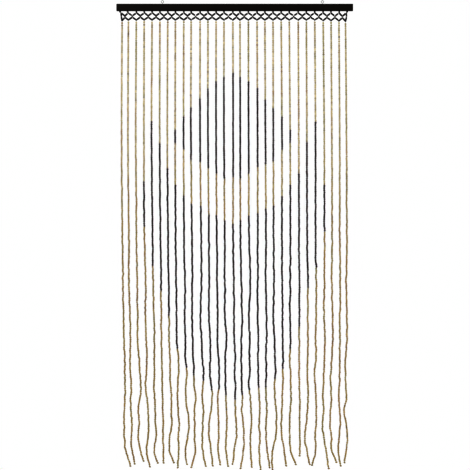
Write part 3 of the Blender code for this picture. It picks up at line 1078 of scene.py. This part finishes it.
class BEADCURTAIN_OT_strands(Operator):
    """Thread the strands of small beads, with their dark pattern"""

    bl_idname = "bead_curtain.strands"
    bl_label = "Strands"

    form = BeadForm(8, 8, 0.75)
    seeds_per_curtain = 100
    # The string's slack gathers at the top, as one of these lengths in millimetres, and
    # parts so many beads
    slacks = (0.3, 1.1, 1.8, 2.6)
    parted_beads = 3
    # Width of a dark bead as a share of a natural one
    dark_width = 1.07
    # Lengths as shares of the usual one: the mean, the longest, and that of the few
    # short beads. Lengths vary less than widths, by the share in length_variation.
    mean_length = 0.99
    longest = 1.04
    short_length = 0.8
    short_beads = 0.02
    length_variation = 0.8
    # How far beads lean, and how far they sit off the string and off their even
    # spacing, in millimetres
    lean = 0.035
    off_string = 0.12
    off_spacing = 0.1
    # Natural beads deepen in colour from the first drop to the second, in millimetres
    pale_until = 420
    deep_from = 900
    # Spread of the tones in the pale part of a strand and in the deep part
    pale_spread = 0.13
    deep_spread = 0.08
    # Beads that come from one stick share its tone and warmth: how long such a run is,
    # in millimetres, how strongly it shows, and its row in the noise
    tone_run = (150, 0.12, 4.0)
    warmth_run = (110, 1.2, 7.7)
    warmth_spread = 0.25
    # A few natural beads are darker than the rest
    darker_beads = 0.025
    darker_tone = 0.75

    def execute(self, context):
        sizes = context.scene.bead_sizes
        template = bead_template("strand bead", sizes.length, sizes.width, sizes.hole, self.form)
        for number in range(len(STRANDS)):
            natural, dark = self.thread(number, template, sizes)
            name = f"strand_{number + 1:02d}"
            wood = material_for(context, natural_bead_wood)
            finish_piece(name + "_natural", natural, wood, "natural_beads", NET_NODE)
            if dark.verts:
                wood = material_for(context, stained_bead_wood)
                finish_piece(name + "_dark", dark, wood, "dark_beads", NET_NODE)
        return {"FINISHED"}

    def thread(self, number, template, sizes):
        """Natural and dark beads of one strand, each in a bmesh of its own."""
        draw = random.Random(sizes.seed * self.seeds_per_curtain + number)
        natural = bmesh.new()
        dark = bmesh.new()
        points, lengths = strand_route(number)
        threaded = lengths[-1] - BEADS_END * MM
        count = round(threaded / (sizes.pitch * PITCH_SHARES.get(number + 1, 1.0)))
        pitch = threaded / count
        slack = draw.choice(self.slacks) * MM
        for bead in range(count):
            centre, direction = along(points, lengths, (bead + 0.5) * pitch)
            centre.z += slack * max(1 - bead / self.parted_beads, 0.0) ** 2
            width = 1 + draw.gauss(0, sizes.unevenness)
            length = draw.gauss(self.mean_length, sizes.unevenness * self.length_variation)
            if draw.random() < self.short_beads:
                length = self.short_length
            lean = [draw.gauss(0, self.lean) for axis in "xy"]
            off_place = [
                draw.gauss(0, spread)
                for spread in (self.off_string, self.off_string, self.off_spacing)
            ]
            in_pattern = is_dark(number, bead)
            shades = self.shades(draw, number, -centre.z / MM, in_pattern)
            if in_pattern:
                width *= self.dark_width
            add_bead(
                dark if in_pattern else natural, template, centre + MM * Vector(off_place),
                (direction + Vector((*lean, 0))).normalized(), spin=draw.uniform(0, math.tau),
                size=(width, width, min(length, self.longest)), **shades)
        return natural, dark

    def shades(self, draw, number, drop, in_pattern):
        """Tone of the bead at that drop, and a natural one's warmth and depth of colour."""
        share = (drop - self.pale_until) / (self.deep_from - self.pale_until)
        share = min(max(share, 0.0), 1.0)
        depth = share * share * (3 - 2 * share)
        spread = self.pale_spread + (self.deep_spread - self.pale_spread) * depth
        tone = 1 + draw.gauss(0, spread) + self.run_at(number, drop, *self.tone_run)
        if in_pattern:
            return {"tone": tone}
        warmth = self.run_at(number, drop, *self.warmth_run) + draw.gauss(0, self.warmth_spread)
        if draw.random() < self.darker_beads:
            tone *= self.darker_tone
        return {"tone": tone, "warmth": warmth, "depth": depth}

    def run_at(self, number, drop, length, strength, noise_row):
        """What a strand's runs of like beads add at a drop."""
        return strength * noise.noise(Vector((number * SHADE_NOISE_STEP, noise_row, drop / length)))


class BEADCURTAIN_OT_stoppers(Operator):
    """Tie a bead crosswise to the end of each strand"""

    bl_idname = "bead_curtain.stoppers"
    bl_label = "Stopper Beads"

    form = BeadForm(10, 6, 0.6)
    seed_step = 7
    # Size as a share of a strand bead's
    length_share = 0.9
    width_share = 0.88
    # How much the turn varies in degrees, and how far the bead leans out of the plane
    turn_variation = 8
    lean = 0.3
    tones = (0.75, 0.95)
    warmths = (-0.6, 0.6)
    loop_ease = 0.7 * MM

    def execute(self, context):
        sizes = context.scene.bead_sizes
        strings = context.scene.string_sizes
        template = bead_template(
            "stopper bead", sizes.length * self.length_share, sizes.width * self.width_share,
            sizes.hole, self.form)
        reach = sizes.length / 2 + strings.radius * 2
        draw = random.Random(sizes.seed + self.seed_step)
        bm = bmesh.new()
        routes = []
        for number in range(len(STRANDS)):
            points, lengths = strand_route(number)
            centre = along(points, lengths, lengths[-1] - STOPPER_CENTRE * MM)[0]
            knot, direction = along(points, lengths, lengths[-1] - STOPPER_KNOT * MM)
            usual_turn = math.copysign(USUAL_STOPPER_TURN, direction.x)
            turn = math.radians(
                STOPPER_TURNS.get(number + 1, usual_turn)
                + draw.uniform(-self.turn_variation, self.turn_variation))
            # A turn to the right swings the bead's lower end towards +X
            hole = Matrix.Rotation(-turn, 3, "Y") @ direction
            hole = (hole + Vector((0, draw.uniform(-self.lean, self.lean), 0))).normalized()
            add_bead(
                bm, template, centre, hole, spin=draw.uniform(0, math.tau),
                tone=draw.uniform(*self.tones), warmth=draw.uniform(*self.warmths), depth=1.0)
            loop = [
                knot, centre + hole * reach, centre, centre - hole * reach,
                knot + Vector((0, strings.radius, 0)),
            ]
            routes.append((eased(loop, self.loop_ease), False))
            routes.append((knot_route(knot, strings.knot_size, draw.uniform(0, math.tau)), True))
        wood = material_for(context, natural_bead_wood)
        finish_piece("stopper_beads", bm, wood, "natural_beads", NET_NODE)
        nylon = material_for(context, nylon_string)
        finish_strings("stopper_ties", routes, strings.radius, nylon)
        return {"FINISHED"}


class BEADCURTAIN_OT_strings(Operator):
    """Run the string through the heading net and down the strands"""

    bl_idname = "bead_curtain.strings"
    bl_label = "Strings"

    bend_ease = 1.0 * MM
    # Two strings share each rail bead and each crossing bead, one before the other, this
    # far from the middle as a share of the string's radius
    string_offset = 1.05
    # Spacing of the points down a strand's string
    point_spacing = 18.0 * MM
    # How far a strand's knot is above its beads, and its turn from one strand to the
    # next in radians
    knot_height = 1.6 * MM
    knot_turn = 1.3

    def execute(self, context):
        strings = context.scene.string_sizes
        nylon = material_for(context, nylon_string)
        tops, crossings, bottoms = net_points()
        half = Vector((0, 0, context.scene.heading_sizes.crossing_length / 2))
        apart = Vector((0, strings.radius * self.string_offset, 0))

        # The strand whose hole each string leaves, its way down the net and its side
        runs = []
        for number, crossing in enumerate(crossings):
            for first, last, side in ((number, number + 1, apart), (number + 1, number, -apart)):
                way = (tops[first], crossing + half, crossing - half, bottoms[last])
                runs.append((first, way, side))
        left_edge, right_edge = edge_routes(tops, bottoms)
        runs.append((0, left_edge, -apart))
        runs.append((len(STRANDS) - 1, right_edge, apart))
        routes = []
        for number, way, side in runs:
            points = [point + side for point in (*self.from_slat(number), *way)]
            routes.append((eased(points, self.bend_ease), False))
        finish_strings("heading_strings", routes, strings.radius, nylon)

        routes = []
        for number, bottom in enumerate(bottoms):
            points, lengths = strand_route(number)
            end = lengths[-1] - STOPPER_KNOT * MM
            count = math.ceil(end / self.point_spacing)
            down = [along(points, lengths, end * step / count)[0] for step in range(count + 1)]
            routes.append(([bottom, *down], False))
            knot = points[0] + Vector((0, 0, self.knot_height))
            routes.append((knot_route(knot, strings.knot_size, number * self.knot_turn), True))
        finish_strings("strand_strings", routes, strings.radius, nylon)
        return {"FINISHED"}

    def from_slat(self, number):
        """The string's way down out of its hole in the slat."""
        return [
            MM * Vector((STRANDS[number].hole, 0, -drop))
            for drop in (STRING_HOLE_TOP_DROP, RAIL_BEAD_TOP_DROP)
        ]


class BEADCURTAIN_PT_panel(Panel):
    """Lists the curtain's sizes and colours, and the steps that make it"""

    bl_label = "Bead Curtain"
    bl_idname = "BEADCURTAIN_PT_panel"
    bl_space_type = "VIEW_3D"
    bl_region_type = "UI"
    bl_category = "Bead Curtain"

    def draw(self, context):
        for group in GROUPS:
            box = self.layout.box()
            settings = getattr(context.scene, group)
            for name in settings.bl_rna.properties.keys():
                if name not in ("name", "rna_type"):
                    box.prop(settings, name)
        for operator in OPERATORS:
            self.layout.operator(operator.bl_idname)


GROUPS = {
    "bead_sizes": BeadSizes,
    "heading_sizes": HeadingSizes,
    "string_sizes": StringSizes,
    "curtain_colours": CurtainColours,
}
OPERATORS = (
    BEADCURTAIN_OT_stage,
    BEADCURTAIN_OT_slat,
    BEADCURTAIN_OT_screw_eyes,
    BEADCURTAIN_OT_heading,
    BEADCURTAIN_OT_strands,
    BEADCURTAIN_OT_stoppers,
    BEADCURTAIN_OT_strings,
)


def register():
    for kind in (*GROUPS.values(), *OPERATORS, BEADCURTAIN_PT_panel):
        bpy.utils.register_class(kind)
    for name, kind in GROUPS.items():
        setattr(bpy.types.Scene, name, PointerProperty(type=kind))


def unregister():
    for name in GROUPS:
        delattr(bpy.types.Scene, name)
    for kind in (BEADCURTAIN_PT_panel, *reversed(OPERATORS), *reversed(GROUPS.values())):
        bpy.utils.unregister_class(kind)


def main():
    register()
    bpy.ops.bead_curtain.stage()
    bpy.ops.bead_curtain.slat()
    bpy.ops.bead_curtain.screw_eyes()
    bpy.ops.bead_curtain.heading()
    bpy.ops.bead_curtain.strands()
    bpy.ops.bead_curtain.stoppers()
    bpy.ops.bead_curtain.strings()


if __name__ == "__main__":
    main()
